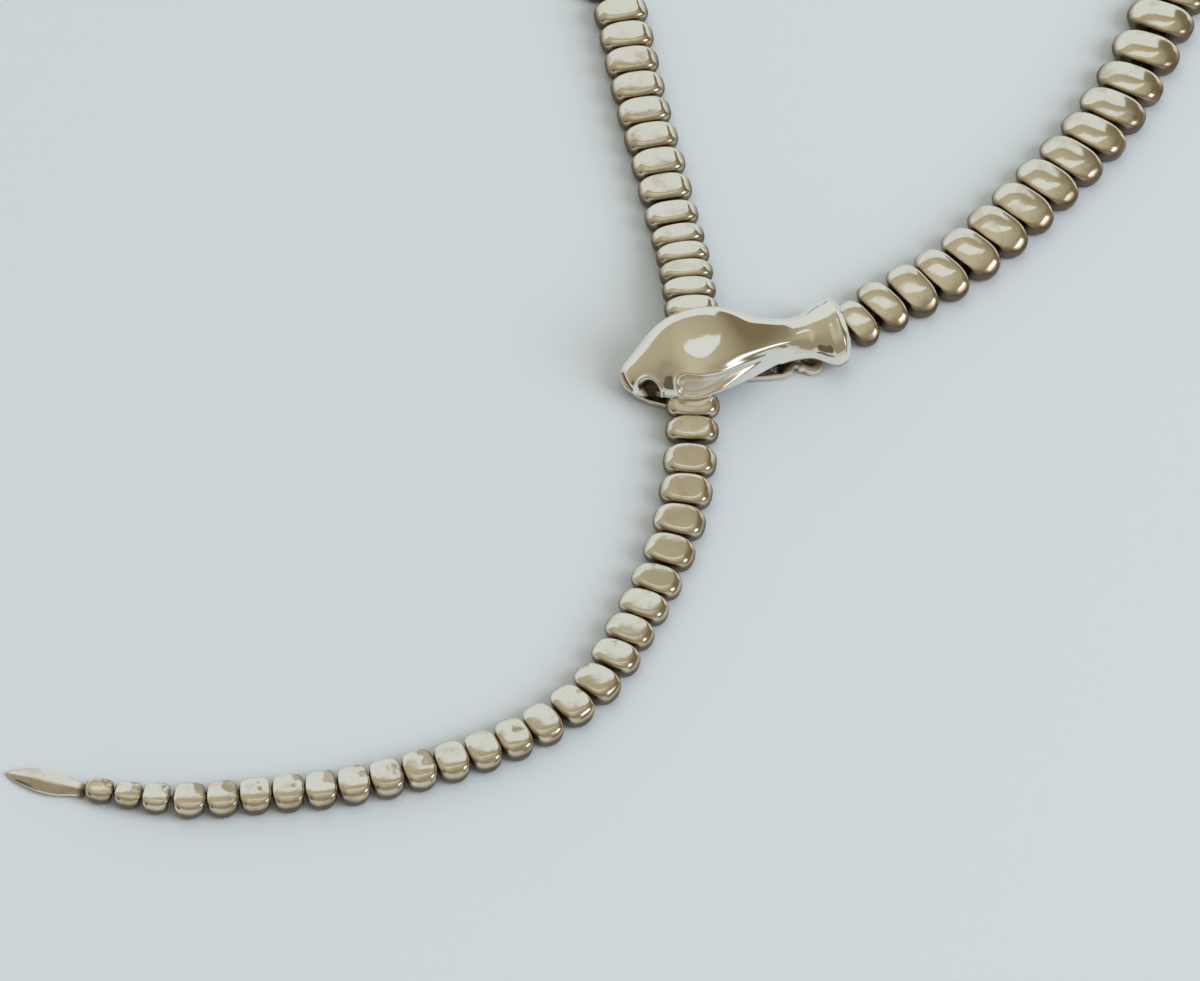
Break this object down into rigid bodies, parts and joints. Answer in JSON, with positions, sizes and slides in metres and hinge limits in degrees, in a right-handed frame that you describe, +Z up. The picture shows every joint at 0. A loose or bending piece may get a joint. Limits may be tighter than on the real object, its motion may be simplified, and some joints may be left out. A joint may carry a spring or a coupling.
{
  "type": "snake necklace",
  "caption": "Silver snake necklace: a domed snake's head hooks over its own chain of cushion-shaped links, which circles the neck and ends in a loose, pointed tail",
  "frame": {"origin": "centre of the base of the whole necklace's box, on the surface that it lies on", "axes": "+Z up; the head lies along +X with its snout toward -X; the neck loop extends toward +Y and the tail hangs toward -Y"},
  "size_m": [0.1562, 0.2266, 0.0074],
  "materials": {
    "head_silver": "polished silver with brown tarnish in the creases and round the cheek panels",
    "hook_silver": "silver strip, worn bright at the edges and tarnished underneath",
    "link_silver": "polished silver with warm tarnish, dark brown between the links",
    "tip_silver": "polished silver, bright on the keel and tarnished at the joint"
  },
  "bodies": {
    "root": {"head": "head_silver", "clasp_hook": "hook_silver", "loop_links": "link_silver", "tail_links": "link_silver", "tail_tip": "tip_silver"}
  },
  "joints": []
}
